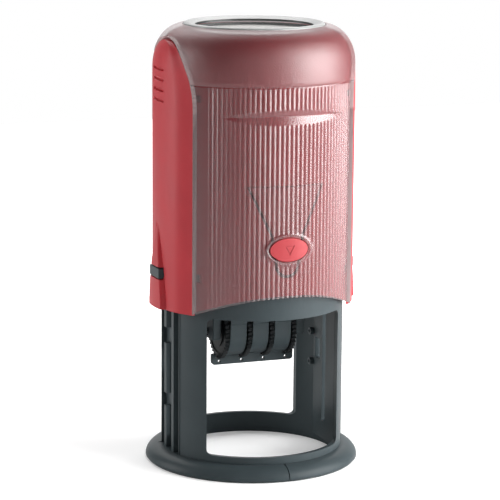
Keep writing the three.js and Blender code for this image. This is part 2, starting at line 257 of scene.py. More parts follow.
def spread(nodes, links, source, low, high):
    """Maps a value from 0..1 to low..high."""
    mapped = nodes.new("ShaderNodeMapRange")
    mapped.inputs["To Min"].default_value = low
    mapped.inputs["To Max"].default_value = high
    links.new(source, mapped.inputs["Value"])
    return mapped.outputs["Result"]


def bump(nodes, links, source, strength, distance, principled):
    node = nodes.new("ShaderNodeBump")
    node.inputs["Strength"].default_value = strength
    node.inputs["Distance"].default_value = distance
    links.new(source, node.inputs["Height"])
    links.new(node.outputs["Normal"], principled.inputs["Normal"])
    return node


def shade(colour, factor):
    return tuple(min(1.0, c * factor) for c in colour)


def moulded(name, colour, roughness, grain=2600.0, grain_depth=0.00002, spec=0.5):
    """Injection-moulded plastic: fine spark-eroded grain, faint mottling of colour and gloss."""
    material, nodes, links, principled = shader(name)
    mottle = noise(nodes, links, 90.0)
    fine = noise(nodes, links, grain, 2.0)
    tone = ramp(nodes, links, mottle, shade(colour, 0.94), shade(colour, 1.06))
    links.new(tone, principled.inputs["Base Color"])
    gloss = spread(nodes, links, mottle, roughness - 0.05, roughness + 0.07)
    links.new(gloss, principled.inputs["Roughness"])
    principled.inputs["Specular IOR Level"].default_value = spec
    bump(nodes, links, fine, 0.35, grain_depth, principled)
    return material


def placed(nodes, links, direction, near, far, low, high):
    """Maps the distance along a direction, or out from the axis for "XY", to low..high."""
    place = nodes.new("ShaderNodeTexCoord")
    part = nodes.new("ShaderNodeVectorMath")
    part.operation = "MULTIPLY"
    part.inputs[1].default_value = (1, 1, 0) if direction == "XY" else (0, 0, 1)
    length = nodes.new("ShaderNodeVectorMath")
    length.operation = "LENGTH"
    links.new(place.outputs["Object"], part.inputs[0])
    links.new(part.outputs["Vector"], length.inputs[0])
    mapped = nodes.new("ShaderNodeMapRange")
    for socket, value in zip(("From Min", "From Max", "To Min", "To Max"), (near, far, low, high)):
        mapped.inputs[socket].default_value = value
    links.new(length.outputs["Value"], mapped.inputs["Value"])
    return mapped.outputs["Result"]


def tinted(name, colour, roughness, alpha):
    """Clear plastic: partly see-through, with a soft uneven gloss."""
    material, nodes, links, principled = shader(name)
    mottle = noise(nodes, links, 160.0)
    fine = noise(nodes, links, 3800.0, 2.0)
    tone = ramp(nodes, links, mottle, shade(colour, 0.93), shade(colour, 1.07))
    links.new(tone, principled.inputs["Base Color"])
    gloss = spread(nodes, links, mottle, roughness - 0.02, roughness + 0.03)
    links.new(gloss, principled.inputs["Roughness"])
    principled.inputs["IOR"].default_value = 1.5
    principled.inputs["Alpha"].default_value = alpha
    principled.inputs["Specular IOR Level"].default_value = 1.0
    bump(nodes, links, fine, 0.3, 0.000002, principled)
    return material


def smoked(name, ribs, dome, alpha):
    """The cover's smoked plastic: glossy on the ribs, redder and frosted on the dome."""
    material, nodes, links, principled = shader(name)
    principled.inputs["IOR"].default_value = 1.9
    principled.inputs["Specular IOR Level"].default_value = 0.75
    principled.inputs["Coat Roughness"].default_value = 0.33

    def by_height(low, high):
        return placed(nodes, links, "Z", (SEAM_Z - 0.1) * MM, (SEAM_Z + 0.1) * MM, low, high)

    tone = ramp(nodes, links, by_height(0.0, 1.0), ribs, dome, 0.0, 1.0)
    links.new(tone, principled.inputs["Base Color"])
    links.new(by_height(0.37, 0.47), principled.inputs["Roughness"])
    links.new(by_height(1.0, 0.05), principled.inputs["Coat Weight"])
    backfacing = nodes.new("ShaderNodeNewGeometry").outputs["Backfacing"]
    seen = spread(nodes, links, backfacing, alpha, 0.0)
    links.new(by_height(alpha, 0.66), seen.node.inputs["To Min"])
    links.new(seen, principled.inputs["Alpha"])
    relief = bump(nodes, links, noise(nodes, links, 2400.0, 2.0), 0.3, 0.00012, principled)
    links.new(by_height(0.0, 1.0), relief.inputs["Strength"])
    return material


def shade_near_axis(material, near, far, inner, outer):
    """Paints shade near the object's axis: the inner colour close to it, the outer colour further out.
    """
    nodes, links = material.node_tree.nodes, material.node_tree.links
    base = nodes["Principled BSDF"].inputs["Base Color"]
    nodes.remove(base.links[0].from_node)
    depth = placed(nodes, links, "XY", near * MM, far * MM, 0.0, 1.0)
    links.new(ramp(nodes, links, depth, inner, outer, 0.0, 1.0), base)
    return material


def steel(name):
    material, nodes, links, principled = shader(name)
    mottle = noise(nodes, links, 700.0)
    tone = ramp(nodes, links, mottle, (0.42, 0.43, 0.45), (0.62, 0.63, 0.64))
    links.new(tone, principled.inputs["Base Color"])
    links.new(spread(nodes, links, mottle, 0.18, 0.34), principled.inputs["Roughness"])
    principled.inputs["Metallic"].default_value = 1.0
    return material


def rubber(name, colour):
    material, nodes, links, principled = shader(name)
    mottle = noise(nodes, links, 260.0, 5.0)
    fine = noise(nodes, links, 5200.0, 2.0)
    tone = ramp(nodes, links, mottle, shade(colour, 0.8), shade(colour, 1.15))
    links.new(tone, principled.inputs["Base Color"])
    links.new(spread(nodes, links, mottle, 0.6, 0.82), principled.inputs["Roughness"])
    bump(nodes, links, fine, 0.5, 0.00003, principled)
    return material


def felt(name, colour):
    material, nodes, links, principled = shader(name)
    fibres = noise(nodes, links, 2400.0, 8.0)
    wet = noise(nodes, links, 120.0)
    tone = ramp(nodes, links, fibres, shade(colour, 0.5), shade(colour, 1.5))
    links.new(tone, principled.inputs["Base Color"])
    links.new(spread(nodes, links, wet, 0.55, 0.95), principled.inputs["Roughness"])
    principled.inputs["Sheen Weight"].default_value = 0.4
    bump(nodes, links, fibres, 0.8, 0.00015, principled)
    return material


RED = (0.46, 0.024, 0.034)
# Painted shade: near-black for the top rim's inner wall, the shadowed recess inside the rim.
RIM_WALL_SHADE = (0.02, 0.02, 0.02)
# Painted shade: near-black for the sleeve's seat wall and floor round the index card.
RECESS_SHADE = (0.008, 0.008, 0.008)

FRAME_GREY = moulded("frame_grey", (0.042, 0.055, 0.060), 0.42, spec=0.15)
INNER_BLACK = moulded("inner_black", (0.014, 0.019, 0.022), 0.42, spec=0.3)
WHEEL_BLACK = moulded("wheel_black", (0.009, 0.011, 0.012), 0.45, spec=0.15)
BODY_RED = moulded("body_red", RED, 0.46, spec=0.3)
# Painted shade: the sleeve is near-black within 18.3 mm of the axis, on its seat round the index card.
SLEEVE_RED = shade_near_axis(moulded("sleeve_red", RED, 0.46, spec=0.3), 18.3, 18.6, RECESS_SHADE, RED)
BUTTON_RED = moulded("button_red", (0.41, 0.040, 0.048), 0.36, spec=0.4)
SMOKE = smoked("smoke_cover", (0.075, 0.008, 0.011), (0.13, 0.010, 0.014), 0.56)
# Painted highlight: the cover's bevelled edge strip gets a pale copy of the smoked plastic, for the
# bright line the bevel catches.
EDGE_SMOKE_HIGHLIGHT = tinted("cover_edge", (0.44, 0.31, 0.31), 0.35, 0.9)
RIM_GREY = (0.34, 0.345, 0.34)
# Painted shade: the rim is near-black within 16.85 mm of the axis, on its inner wall.
RIM_CLEAR = shade_near_axis(tinted("rim_clear", RIM_GREY, 0.36, 0.95), 16.85, 16.95, RIM_WALL_SHADE, RIM_GREY)
WINDOW_CLEAR = tinted("window_clear", (0.85, 0.86, 0.86), 0.10, 0.12)
CARD = moulded("card_paper", (0.62, 0.60, 0.58), 0.75, grain=1500.0, grain_depth=0.00004)
STEEL = steel("spring_steel")
BAND_RUBBER = rubber("band_rubber", (0.11, 0.09, 0.085))
DIE_RUBBER = rubber("die_rubber", (0.30, 0.055, 0.06))
INK_FELT = felt("ink_felt", (0.03, 0.035, 0.11))

# ------------------------------------------------------------------ shared shapes


def skin_radius(z, offset=0.0):
    """Radius of the handle's outer skin, less an offset, at height z."""
    if z <= DOME_START:
        return HANDLE_R - offset
    up = min(1.0, (z - DOME_START) / (DOME_TOP - DOME_START - offset))
    return DOME_FLAT + (HANDLE_R - DOME_FLAT - offset) * (1 - up ** DOME_POWER) ** (1 / DOME_POWER)


def skin(offset, z0, steps=22):
    points = [(HANDLE_R - offset, z0)]
    for i in range(steps + 1):
        turn = math.pi / 2 * i / steps
        points.append((
            DOME_FLAT + (HANDLE_R - DOME_FLAT - offset) * math.cos(turn) ** (2 / DOME_POWER),
            DOME_START + (DOME_TOP - DOME_START - offset) * math.sin(turn) ** (2 / DOME_POWER),
        ))
    return points


def bullet_half_width(z, grow=0.0):
    """Half the width of a cheek at height z."""
    rise = (z - CHEEK_SHOULDER) / (CHEEK_RISE + grow)
    if rise <= 0:
        return CHEEK_HALF + grow
    return (CHEEK_HALF + grow) * (1 - min(1.0, rise) ** CHEEK_POWER) ** (1 / CHEEK_POWER)


def bullet(grow, steps=28):
    """The cheek's outline seen along X, as (y, z)."""
    side = []
    for i in range(steps + 1):
        turn = math.pi / 2 * i / steps
        side.append((
            (CHEEK_HALF + grow) * math.cos(turn) ** (2 / CHEEK_POWER),
            CHEEK_SHOULDER + (CHEEK_RISE + grow) * math.sin(turn) ** (2 / CHEEK_POWER),
        ))
    low = HANDLE_BOTTOM - 10
    left = [(-y, z) for y, z in reversed(side[:-1])]
    return [(-CHEEK_HALF - grow, low), (CHEEK_HALF + grow, low)] + side + left


def arch_z(x, lift=0.0):
    """Height of the lower edge of the cover at a distance x from the middle."""
    crown = ARCH_CROWN + lift
    return crown - (crown - HANDLE_BOTTOM) * abs(x / ARCH_HALF) ** ARCH_POWER


def below_arch(lift, steps=40):
    """The outline, as (x, z), of everything under that edge."""
    points = [(-ARCH_HALF, HANDLE_BOTTOM - 10)]
    for i in range(steps + 1):
        x = -ARCH_HALF + 2 * ARCH_HALF * i / steps
        points.append((x, arch_z(x, lift)))
    return points + [(ARCH_HALF, HANDLE_BOTTOM - 10)]


def ellipse(width, height, z, steps=64):
    turns = [2 * math.pi * i / steps for i in range(steps)]
    return [(width * math.cos(t), z + height * math.sin(t)) for t in turns]


def tongue(grow, rise):
    """The lock's spring tongue, grown sideways and raised at its root."""
    tip = TONGUE_TIP + grow
    points = arc(0, TONGUE_BOTTOM + TONGUE_TIP, tip, 180, 360, 24)
    points += [(4.2 + grow, 70.5), (10.6 + grow, TONGUE_TOP + rise)]
    return points + [(-10.6 - grow, TONGUE_TOP + rise), (-4.2 - grow, 70.5)]


def button_hole():
    """The oval that the lock button stands in, as (x, z)."""
    return ellipse(BUTTON_W + BUTTON_GAP, BUTTON_H + BUTTON_GAP, BUTTON_Z)


def catch_hole(side):
    """The hole in a cheek that the yoke's catch shows in."""
    return block(*span(side, 24, 32), -4.3, 4.3, 55, 58.5)


def snap_windows():
    """The small holes in the sleeve that the cover's snaps hold in."""
    cutters = []
    for side in (-1, 1):
        for z, high, wide in ((108.0, 1.0, 0.95), (57.3, 1.2, 1.05)):
            x = side * SNAP_X
            cutters.append(block(x - wide, x + wide, -30, 30, z - high, z + high))
    return cutters


# ------------------------------------------------------------------ frame


def rounded_window():
    half, c = WINDOW_HALF, 1.5
    points = arc(half - c, RING_TOP + c, c, -90, 0, 6)
    points += arc(half - c, WINDOW_TOP - c, c, 0, 90, 6)
    points += arc(c - half, WINDOW_TOP - c, c, 90, 180, 6)
    points += arc(c - half, RING_TOP + c, c, 180, 270, 6)
    return prism("window", points, "Y", -40, 40)


def foot_profile(inset):
    """The foot's outline from the paper up: a flange with a rounded back, then the tube's wall."""
    points = [(FRAME_IN, 0.0), (FLANGE_R - 0.5 - inset, 0.0)]
    for i in range(17):
        turn = math.pi / 2 * i / 16
        out = (FLANGE_R - FRAME_OUT - inset) * math.cos(turn)
        points.append((FRAME_OUT + out, 0.6 + (3.5 - inset) * math.sin(turn)))
    return points + [(FRAME_OUT, FRAME_TOP), (FRAME_IN, FRAME_TOP)]


def frame_moulding():
    """Foot ring, two legs with railed channels, and the band that joins them at the top."""
    body = revolve("frame", foot_profile(0.0))
    cut(body, rounded_window(), block(-6.6, 6.6, -40, 40, 57.3, FRAME_TOP + 1))
    for side in (-1, 1):
        add(body, block(*span(side, LEG_IN, 25.2), -8, 8, 2.4, FRAME_TOP))
        across = (-CHANNEL_HALF, CHANNEL_HALF)
        cut(body, block(*span(side, CHANNEL_FLOOR, 32), *across, CHANNEL_LOW, CHANNEL_TOP))
        for centre in (-RAIL_Y, RAIL_Y):
            foot = span(side, CHANNEL_FLOOR - 0.5, RAIL_TOP)
            rail = block(*foot, centre - 1, centre + 1, CHANNEL_LOW - 0.3, CHANNEL_TOP + 0.2)
            notches = ((34.8, 39.5), (16.2, 20.0)) if side * centre < 0 else ()
            for low, high in notches:
                notch = span(side, CHANNEL_FLOOR + 0.2, 27)
                cut(rail, block(*notch, centre - 2, centre + 2, low, high))
            add(body, rail)
        wall = span(side, LEG_IN - 1, CHANNEL_FLOOR + 0.4)
        half = TRUNNION_R + CLEAR
        cut(body, block(*wall, -half, half, 7.9, 57))
        cut(body, block(*wall, 3, 6.8, 26, 32.2))
        for z in (24.4, 33.6):
            add(body, rod_x(1.1, *span(side, 21.6, 23.5), 8.6, z))
            cut(body, rod_x(0.6, *span(side, 21, 23), 8.6, z))
    mark = block(-0.15, 0.15, -32, -FRAME_OUT, 0.4, 5)
    cut(body, cut(mark, revolve("below_mark", foot_profile(0.3))))
    finish_piece(body, "frame_moulding", "base", FRAME_GREY, ["base_frame"],
                 bevel=0.14)


# ------------------------------------------------------------------ handle


def handle_shell():
    """The red inner sleeve with the holes behind the lock buttons and the snap windows."""
    outer = skin(COVER + 0.3, HANDLE_BOTTOM)
    inner = [p for p in skin(HANDLE_R - SLEEVE_R, HANDLE_BOTTOM) if p[1] < CEILING]
    top_z = DOME_TOP - COVER - 0.3
    profile = outer + [(18.0, top_z), (18.0, 124.3), (0, 124.3), (0, CEILING), (inner[-1][0], CEILING)]
    body = revolve("shell", profile + inner[::-1])
    for side in (-1, 1):
        for outline in (tongue(TONGUE_GAP, ROOT_GAP), button_hole()):
            y0, y1 = sorted((side * 15, side * 40))
            cut(body, prism("lock", outline, "Y", y0, y1))
        cut(body, catch_hole(side))
    cut(body, prism("arch", below_arch(0.3), "Y", -40, 40), *snap_windows())
    finish_piece(body, "handle_sleeve", "handle", SLEEVE_RED, ["handle_body"],
                 bevel=0.1)


def smooth_step(low, high, value):
    t = min(1.0, max(0.0, (value - low) / (high - low)))
    return t * t * (3 - 2 * t)


def cheek_relief(y, z):
    """How far the cheek's surface stands out from the skin: crease, grip grooves and bulge."""
    edge = max(0.05, bullet_half_width(z))
    crease = 9.6 * edge / CHEEK_HALF
    relief = -0.75 * smooth_step(crease, edge, abs(y)) if abs(y) > crease else 0.0
    if abs(y) < 4.4:
        for groove in (106.2, 109.1, 112.1, 115.0):
            ends = 1 - smooth_step(3.6, 4.3, abs(y))
            relief -= 0.75 * ends * (1 - smooth_step(0.22, 0.5, abs(z - groove)))
    rise = (z - HANDLE_BOTTOM) / (70.9 - HANDLE_BOTTOM)
    if rise < 1:
        half = 5.2 * (1 - max(0.0, rise) ** 1.53)
        height = 1.3 * (1 - max(0.0, rise) ** 2.2)
        relief -= 0.28 * max(0.0, 1 - abs(abs(y) - half - 0.45) / 0.4) * (rise > -0.02)
        relief += height * (1 - smooth_step(half - 0.2, half + 0.2, abs(y)))
    return relief


def cheek_rows():
    """Heights of the cheek's rows: close together at the grooves and towards the apex."""
    rows = [HANDLE_BOTTOM + 0.7 * i for i in range(84)]
    z = rows[-1]
    while z < 117:
        z += 0.14
        rows.append(z)
    left = 123.0 - z
    rows += [z + left * math.sin(math.pi / 2 * i / 26) for i in range(1, 27)]
    return rows


def cheek(side):
    """The red side panel: a relief on the outside, joined at its rim to a smooth inside."""
    columns = 121
    rows = cheek_rows()
    verts, faces = [], []
    for depth in (False, True):
        for z in rows:
            half = max(0.02, bullet_half_width(z))
            for i in range(columns):
                across = 2 * i / (columns - 1) - 1
                y = half * math.copysign(abs(across) ** 0.9, across)
                radius = skin_radius(z, 1.36 if depth else 0.0)
                x = math.sqrt(max(1.0, radius * radius - y * y))
                if not depth:
                    x += cheek_relief(y, z)
                verts.append((side * x, y, z))
    count = len(rows)
    layer = columns * count
    for r in range(count - 1):
        for i in range(columns - 1):
            a = r * columns + i
            quad = [a, a + 1, a + 1 + columns, a + columns]
            faces.append(quad)
            faces.append([v + layer for v in reversed(quad)])
    rim = [i for i in range(columns)]
    rim += [r * columns + columns - 1 for r in range(1, count)]
    rim += [(count - 1) * columns + i for i in range(columns - 2, -1, -1)]
    rim += [r * columns for r in range(count - 2, 0, -1)]
    for a, b in zip(rim, rim[1:] + rim[:1]):
        faces.append([a, b, b + layer, a + layer])
    body = new_object("cheek", verts, faces)
    cut(body, catch_hole(side))
    name = "cheek_right" if side > 0 else "cheek_left"
    finish_piece(body, name, "handle", BODY_RED, ["handle_body"], sharp=40)


def cover_relief(phi, z, x):
    """Depth of the cover's outer surface below the skin, for a point of the front or rear."""
    along = phi * HANDLE_R
    fade = 1 - smooth_step(math.radians(46.3), math.radians(47.6), abs(phi))
    fade *= 1 - smooth_step(SEAM_Z - 0.5, SEAM_Z - 0.1, z)
    from_button = math.hypot(x / (BUTTON_W + 1.1), (z - BUTTON_Z) / (BUTTON_H + 1.1))
    fade *= smooth_step(1.04, 1.12, from_button)
    rib = abs(math.sin(math.pi * along / RIB_PITCH))
    depth = RIB_DEPTH * fade * (1 - rib)
    depth -= 0.2 * max(0.0, 1 - ((from_button - 0.98) / 0.07) ** 2)
    depth += 0.16 * (1 - smooth_step(0.12, 0.3, abs(z - SEAM_Z))) * (abs(phi) < math.radians(62))
    reach_x = 1 - (along / DIMPLE_HALF) ** 2
    if reach_x > 0:
        top_edge, low_edge = DIMPLE_Z + DIMPLE_UP * reach_x, DIMPLE_Z - DIMPLE_DOWN * reach_x
        if low_edge < z < top_edge:
            inside = (z - low_edge) / (top_edge - low_edge)
            depth *= 1 - smooth_step(0.0, 0.15, min(inside, 1 - inside))
            depth += DIMPLE_DEPTH * reach_x ** 0.5 * min(inside / 0.62, (1 - inside) / 0.38)
    return depth


def cover_columns():
    """Angles from the front: eight to a rib over the ribbed fields, coarse between them."""
    step = RIB_PITCH / HANDLE_R / 8
    field = int(math.radians(48) / step)
    angles = [i * step for i in range(-field, field + 1)]
    gap_start, gap_end = angles[-1], math.pi - angles[-1]
    between = [gap_start + (gap_end - gap_start) * i / 44 for i in range(1, 44)]
    rear = [math.pi + a for a in angles]
    return angles + between + rear + [math.pi + b for b in between]


def cover_rows():
    rows = [HANDLE_BOTTOM - 0.5, 55.0, 59.0, 60.5]
    rows += [60.9 + 0.22 * i for i in range(1, 52)]
    rows += [74.0, 80.0, 87.0, 94.0, 99.0, 100.7]
    rows += [100.9 + 0.16 * i for i in range(31)]
    rows += [106.0, 109.0, SEAM_Z - 0.6, SEAM_Z - 0.45, SEAM_Z - 0.3, SEAM_Z - 0.2, SEAM_Z - 0.1]
    rows += [SEAM_Z, SEAM_Z + 0.1, SEAM_Z + 0.2, SEAM_Z + 0.35, 113.2]
    return rows


def arch_trim(side):
    """The chamfered strip that edges the cover round a cheek."""
    inner, outer = bullet(0.3, 40), bullet(EDGE_GROW, 40)
    inner = inner[1:] + inner[:1]
    outer = outer[1:] + outer[:1]
    verts, faces = [], []
    for (yi, zi), (yo, zo) in zip(inner, outer):
        zi, zo = max(zi, HANDLE_BOTTOM), max(zo, HANDLE_BOTTOM)
        for y, z, sink in ((yi, zi, 0.7), (yo, zo, -0.02), (yo, zo, 1.0), (yi, zi, 1.1)):
            radius = skin_radius(z, max(0.0, sink))
            radius -= min(0.0, sink)
            verts.append((side * math.sqrt(max(1.0, radius * radius - y * y)), y, z))
    count = len(inner)
    for i in range(count - 1):
        for k in range(4):
            n = (k + 1) % 4
            faces.append([4 * i + k, 4 * i + n, 4 * i + 4 + n, 4 * i + 4 + k])
    faces.append([3, 2, 1, 0])
    faces.append([4 * count - 4 + k for k in range(4)])
    return new_object("trim", verts, faces)


def clear_cover():
    """The ribbed cover and its dome, open for the cheeks, the buttons and the window."""
    angles = cover_columns()
    outer = [(None, z) for z in cover_rows()] + skin(0.0, 0)[1:]
    inner = [(19.0, DOME_TOP - COVER)] + skin(COVER, HANDLE_BOTTOM - 0.5)[::-1]
    verts, faces = [], []
    loops = outer + [(19.0, DOME_TOP)] + inner
    for radius, z in loops:
        for phi in angles:
            r = radius
            if radius is None:
                local = phi if phi < math.pi / 2 else phi - math.pi
                local = local if abs(local) < math.pi / 2 else local - math.pi
                r = HANDLE_R - cover_relief(local, z, HANDLE_R * math.sin(local))
            verts.append((r * math.sin(phi), -r * math.cos(phi), z))
    count = len(angles)
    for low in range(len(loops)):
        high = (low + 1) % len(loops)
        for i in range(count):
            j = (i + 1) % count
            faces.append([low * count + i, low * count + j, high * count + j, high * count + i])
    body = new_object("cover", verts, faces)
    cut(body, prism("cheeks", bullet(EDGE_GROW), "X", -32, 32))
    cut(body, prism("arch", below_arch(0.0), "Y", -40, 40))
    cut(body, prism("lock", button_hole(), "Y", -40, 40))
    cut(body, prism("rebate", arc(0, 0, 20.5, 0, 357, 119), "Z", 126.3, 128))
    finish_piece(body, "ribbed_cover", "handle", SMOKE, ["clear_cover"], sharp=50)
    for side, name in ((-1, "cover_edge_left"), (1, "cover_edge_right")):
        trim = cut(arch_trim(side), prism("arch", below_arch(0.0), "Y", -40, 40))
        finish_piece(trim, name, "handle", EDGE_SMOKE_HIGHLIGHT, ["clear_cover"], sharp=40)


def lock_button(side):
    """The spring tongue with its oval button and the engraved triangle."""
    profile = [(SLEEVE_R, 50), (27.65, 50), (27.65, 90), (SLEEVE_R, 90)]
    leaf = revolve("leaf", profile)
    combine(leaf, prism("outline", tongue(0, 0), "Y", -40, -15), "INTERSECT")
    steps = 24
    crown = [(SLEEVE_R, 50)]
    crown += [(29.15 - 0.35 * (2 * i / steps - 1) ** 4, 61 + 11 * i / steps) for i in range(steps + 1)]
    crown += [(SLEEVE_R, 90)]
    cap = revolve("cap", crown)
    combine(cap, prism("oval", ellipse(BUTTON_W, BUTTON_H, BUTTON_Z), "Y", -40, -15), "INTERSECT")
    outer_mark = [(-1.5, 67.7), (1.5, 67.7), (0, 64.9)]
    inner_mark = [(-0.95, 67.35), (0.95, 67.35), (0, 65.55)]
    mark = prism("mark", outer_mark, "Y", -40, -28.95)
    cut(mark, prism("mark_inner", inner_mark, "Y", -41, -27))
    cut(cap, mark)
    body = add(leaf, cap)
    name = "rear_lock" if side > 0 else "front_lock"
    if side > 0:
        body.data.transform(Matrix.Rotation(math.pi, 4, "Z"))
    body.data.validate()
    finish_piece(body, name + "_key", name, BUTTON_RED, [name + "_button"],
                 bevel=0.16)


def top_parts():
    face = top("top_rim")
    outer, inner = reach("top_rim", 0), 16.8
    rim = [(inner, face - 1.35), (18.7, face - 1.35), (18.7, face - 0.8), (outer, face - 0.8)]
    rim += [(outer - 1 + u, face - 0.65 + 0.65 * v) for u, v in arc(0, 0, 1.0, 0, 90, 10)]
    rim += [(outer - 1.5, face - 0.06), (17.3, face - 0.6), (inner, face - 0.75)]
    finish_piece(revolve("rim", rim), "rim_ring", "index_cap", RIM_CLEAR, ["top_rim"])
    low, high = bottom("index_window"), top("index_window")
    radius = reach("index_window", 0)
    pane = [(0, low), (radius - 0.1, low), (radius, low + 0.1), (radius, high - 0.2)]
    pane += [(radius - 0.2, high), (0, high)]
    finish_piece(revolve("pane", pane), "index_pane", "index_cap", WINDOW_CLEAR, ["index_window"])
    low, high = bottom("index_card"), top("index_card")
    radius = reach("index_card", 0)
    card = [(0, low), (radius, low), (radius, high), (0, high)]
    finish_piece(revolve("card", card), "index_paper", "handle", CARD, ["index_card"])


def yoke(side):
    """The arm that reaches from the handle through the leg's slot to the die carrier's pin."""
    body = block(*span(side, 24.1, 25.6), -1.9, 1.9, 49, 58.5)
    add(body, block(*span(side, 25.4, 26.4), -1.9, 1.9, 55.3, 58.2))
    add(body, block(*span(side, 26.0, 30.1), -4, 4, 55.3, 58.2))
    cut(body, rod_x(TRUNNION_R + CLEAR, *span(side, 23, 27), 0, AXLE_Z))
    name = "yoke_right" if side > 0 else "yoke_left"
    finish_piece(body, name + "_moulding", "handle", FRAME_GREY, [name], bevel=0.15)


# ------------------------------------------------------------------ date unit


def toothed_rim(x0, x1):
    points = []
    for i in range(WHEEL_TEETH):
        for part, radius in ((0.0, WHEEL_ROOT), (0.3, WHEEL_ROOT), (0.58, WHEEL_R), (0.72, WHEEL_R)):
            turn = 2 * math.pi * (i + part) / WHEEL_TEETH
            points.append((radius * math.cos(turn), WHEEL_Z + radius * math.sin(turn)))
    return prism("rim", points, "X", x0, x1)


def date_wheel(name, rim):
    """A thumb wheel: toothed rim, thin web and a hub that drives the band."""
    low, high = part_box(name + "_wheel")
    edges = (low[0] / MM, high[0] / MM)
    body = toothed_rim(rim - RIM_HALF, rim + RIM_HALF)
    for near, far in ((-2, -0.35), (0.35, 2)):
        cut(body, rod_x(6.4, rim + near, rim + far, 0, WHEEL_Z))
    add(body, rod_x(4.6, min(edges[0], rim), max(edges[1], rim), 0, WHEEL_Z))
    cut(body, rod_x(SHAFT_R + CLEAR, -20, 20, 0, WHEEL_Z))
    finish_piece(body, name + "_thumbwheel", name + "_dial", WHEEL_BLACK, [name + "_wheel"],
                 bevel=0.06)


def belt(hub, nose, nose_z, steps=40):
    """The outline of a band that runs round its wheel and over the anvil's nose."""
    lean = math.degrees(math.asin((hub - nose) / (nose_z - WHEEL_Z)))
    points = arc(0, nose_z, nose, lean, 180 - lean, steps)
    return points + arc(0, WHEEL_Z, hub, 180 - lean, 360 + lean, steps)


def date_band(name):
    low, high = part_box(name + "_band")
    nose_z = AXLE_Z + 6.9
    nose = high[2] / MM - nose_z
    x0, x1 = low[0] / MM, high[0] / MM
    body = prism("band", belt(5.55, nose - 0.35, nose_z), "X", x0, x1)
    cut(body, prism("hollow", belt(4.9, nose - 1.0, nose_z), "X", x0 - 1, x1 + 1))
    finish_piece(body, name + "_belt", "rotor", BAND_RUBBER, [name + "_band"],
                 bevel=0.05)


def guard_loop(x0, x1):
    top_z, step_z = AXLE_Z - 3, AXLE_Z - 11.4
    points = [(7.6, top_z), (6.3, top_z)] + arc(0, WHEEL_Z, 6.3, 0, -180, 40)
    points += [(-6.3, top_z), (-7.6, top_z), (-7.6, step_z + 0.3), (-7.3, step_z)]
    points += arc(0, WHEEL_Z, 7.3, -180, 0, 40) + [(7.3, step_z), (7.6, step_z + 0.3)]
    return prism("loop", points, "X", x0, x1)


def wheel_guard():
    low = bottom("wheel_guard")
    half = reach("wheel_guard", 0)
    points = [(half, AXLE_Z - 21.2), (-half, AXLE_Z - 21.2)]
    points += arc(0.9 - half, low + 0.9, 0.9, 180, 270, 8)
    points += arc(half - 0.9, low + 0.9, 0.9, 270, 360, 8)
    body = prism("guard", points, "Y", -0.7, 0.7)
    for left, right in zip(RIMS, RIMS[1:]):
        add(body, guard_loop(left + RIM_SPACE, right - RIM_SPACE))
    for rim in RIMS:
        cut(body, block(rim - RIM_SPACE, rim + RIM_SPACE, -2, 2, AXLE_Z - 22.55, AXLE_Z - 20))
        cut(body, prism("hole", arc(rim, AXLE_Z - 23.4, 0.42, 0, 345, 23), "Y", -2, 2))
    finish_piece(body, "dial_guard", "rotor", FRAME_GREY, ["wheel_guard"], bevel=0.08)


def side_plate(side):
    low = WHEEL_Z - 1.7
    points = [(6, AXLE_Z + 5.3), (-6, AXLE_Z + 5.3), (-5.6, low + 0.5), (-5.1, low)]
    points += [(5.1, low), (5.6, low + 0.5)]
    body = prism("plate", points, "X", *span(side, 11.6, 14.1))
    for radius, near, far in ((3.2, 13.5, 22.4), (TRUNNION_R, 22.0, 25.4)):
        add(body, rod_x(radius, *span(side, near, far), 0, AXLE_Z))
    cut(body, rod_x(SHAFT_R + CLEAR, *span(side, 11, 16), 0, WHEEL_Z))
    name = "side_plate_right" if side > 0 else "side_plate_left"
    finish_piece(body, name + "_moulding", "rotor", FRAME_GREY, [name], bevel=0.3)


def dial_shaft():
    low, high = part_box("wheel_shaft")
    head, head_r = low[0] / MM, 1.5
    body = rod_x(SHAFT_R, head + 0.8, high[0] / MM, 0, WHEEL_Z)
    dome = [(0, head)]
    for u, v in arc(0, 0, 1, -90, 0, 10)[1:]:
        dome.append((head_r * u, head + 0.8 + 0.8 * v))
    dome += [(head_r, head + 1.2), (0, head + 1.2)]
    cap = revolve("head", dome, 64)
    cap.data.transform(Matrix.Rotation(math.pi / 2, 4, "Y"))
    cap.data.transform(Matrix.Translation((0, 0, WHEEL_Z * MM)))
    add(body, cap)
    finish_piece(body, "dial_axle", "rotor", STEEL, ["wheel_shaft"])


def die_parts():
    plate_low, plate_high = bottom("text_plate"), top("text_plate")
    radius = reach("text_plate", 0)
    plate = [(0, plate_low), (radius, plate_low), (radius, plate_high), (0, plate_high)]
    body = cut(revolve("plate", plate), block(-9.9, 9.9, -3.5, 3.5, plate_low - 1, plate_high + 1))
    finish_piece(body, "die_plate", "rotor", INNER_BLACK, ["text_plate"], bevel=0.15)
    low, face = bottom("die_rubber"), top("die_rubber")
    radius = reach("die_rubber", 0)
    web = face - 0.8
    print_face = [(0, low), (radius, low), (radius, face - 0.4), (radius - 0.15, face)]
    print_face += [(radius - 0.9, face), (radius - 1.0, web), (radius - 2.0, web), (radius - 2.1, face)]
    print_face += [(radius - 2.4, face), (radius - 2.5, web), (0, web)]
    body = revolve("die", print_face)
    frame_line = block(-10.9, 10.9, -4.4, 4.4, web - 0.2, face)
    cut(frame_line, block(-10.5, 10.5, -4.0, 4.0, web - 1, face + 1))
    add(body, frame_line)
    cut(body, block(-9.9, 9.9, -3.4, 3.4, low - 1, face + 1))
    finish_piece(body, "die_face", "rotor", DIE_RUBBER, ["die_rubber"], sharp=40)


